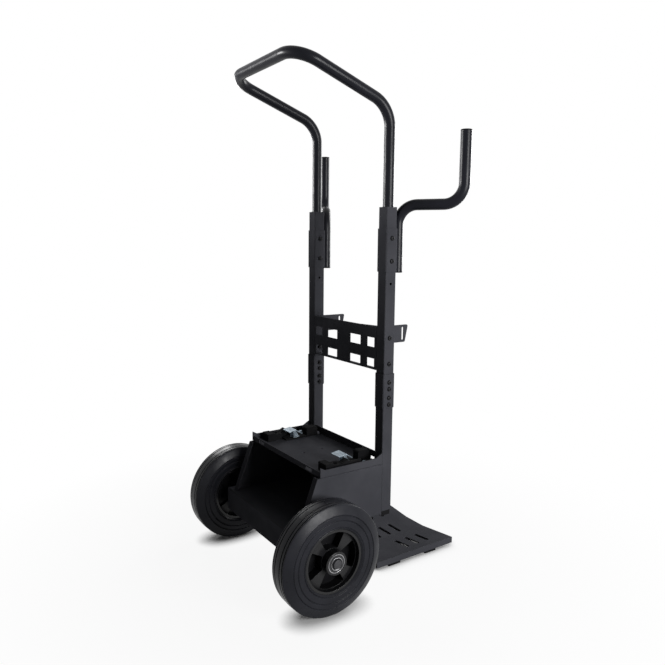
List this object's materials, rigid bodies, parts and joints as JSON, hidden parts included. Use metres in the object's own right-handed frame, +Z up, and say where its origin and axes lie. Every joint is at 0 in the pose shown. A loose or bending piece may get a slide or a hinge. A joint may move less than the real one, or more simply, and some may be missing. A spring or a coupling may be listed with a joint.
{
  "type": "welding trolley",
  "caption": "Black two-wheeled welding trolley with a deck for the power source, split posts, bent tube handle, cable hooks and a toe plate for a gas cylinder.",
  "frame": {"origin": "on the floor, under the middle of the outline seen from above", "axes": "+Z up; +Y from the handle towards the toe plate; +X to the right seen from behind the handle"},
  "size_m": [0.581, 0.576, 1.1935],
  "materials": {
    "painted_steel": "fine-textured satin black powder coat",
    "tube_paint": "smooth semi-gloss black paint",
    "tyre_rubber": "satin charcoal rubber",
    "rim_plastic": "glossy black moulded plastic",
    "rail_plastic": "matt black moulded plastic",
    "cap_plastic": "matt black plastic",
    "bearing_steel": "ground bearing steel",
    "seal_rubber": "matt black nitrile rubber",
    "axle_steel": "dark oiled steel",
    "plain_steel": "plain drawn steel",
    "zinc_steel": "bright bluish zinc plating",
    "black_fastener": "black oxide steel"
  },
  "bodies": {
    "frame": {"axle": "axle_steel", "axle_beam": "painted_steel", "axle_bracket_left": "painted_steel", "axle_bracket_right": "painted_steel", "axle_spacer_left": "plain_steel", "axle_spacer_right": "plain_steel", "axle_washer_left": "plain_steel", "axle_washer_right": "plain_steel", "bearing_inner_rings_left": "bearing_steel", "bearing_inner_rings_right": "bearing_steel", "bearing_spacer_left": "plain_steel", "bearing_spacer_right": "plain_steel", "bracket_bolts": "black_fastener", "bracket_nuts": "black_fastener", "cable_hook_left": "tube_paint", "cable_hook_right": "tube_paint", "circlip_left": "black_fastener", "circlip_right": "black_fastener", "cylinder_bracket": "painted_steel", "deck_tray": "painted_steel", "floor_pan": "painted_steel", "front_panel": "painted_steel", "handle_tube": "tube_paint", "hook_bolts": "black_fastener", "hook_caps_left": "cap_plastic", "hook_caps_right": "cap_plastic", "hook_collar_left": "painted_steel", "hook_collar_right": "painted_steel", "hook_nuts": "black_fastener", "joint_sleeve_left": "painted_steel", "joint_sleeve_right": "painted_steel", "latch_base_left": "zinc_steel", "latch_base_right": "zinc_steel", "latch_pin_left": "zinc_steel", "latch_pin_right": "zinc_steel", "lock_rail_left": "rail_plastic", "lock_rail_right": "rail_plastic", "lower_post_left": "painted_steel", "lower_post_right": "painted_steel", "post_plug_left": "cap_plastic", "post_plug_right": "cap_plastic", "rail_screws": "zinc_steel", "side_plate_left": "painted_steel", "side_plate_right": "painted_steel", "sleeve_bolts": "black_fastener", "sleeve_nuts": "black_fastener", "toe_feet": "cap_plastic", "toe_plate": "painted_steel", "upper_post_left": "painted_steel", "upper_post_right": "painted_steel"},
    "wheel_right": {"bearing_outer_rings_right": "bearing_steel", "bearing_seals_right": "seal_rubber", "rim_right": "rim_plastic", "tyre_right": "tyre_rubber"},
    "wheel_left": {"bearing_outer_rings_left": "bearing_steel", "bearing_seals_left": "seal_rubber", "rim_left": "rim_plastic", "tyre_left": "tyre_rubber"},
    "latch_right": {"latch_lever_right": "zinc_steel"},
    "latch_left": {"latch_lever_left": "zinc_steel"}
  },
  "joints": [
    {"name": "wheel_right_spin", "type": "hinge", "parent": "frame", "child": "wheel_right", "pos_m": [0.2255, -0.163, 0.125], "axis": [1, 0, 0], "continuous": true},
    {"name": "latch_right_rock", "type": "hinge", "parent": "frame", "child": "latch_right", "pos_m": [0.115, -0.048, 0.3], "axis": [1, 0, 0], "range_deg": [0, 25], "stiffness_Nm_per_rad": 0.05, "springref_deg": -17.19},
    {"name": "wheel_left_spin", "type": "hinge", "parent": "frame", "child": "wheel_left", "pos_m": [-0.2255, -0.163, 0.125], "axis": [1, 0, 0], "continuous": true},
    {"name": "latch_left_rock", "type": "hinge", "parent": "frame", "child": "latch_left", "pos_m": [-0.115, -0.048, 0.3], "axis": [1, 0, 0], "range_deg": [0, 25], "stiffness_Nm_per_rad": 0.05, "springref_deg": -17.19}
  ]
}
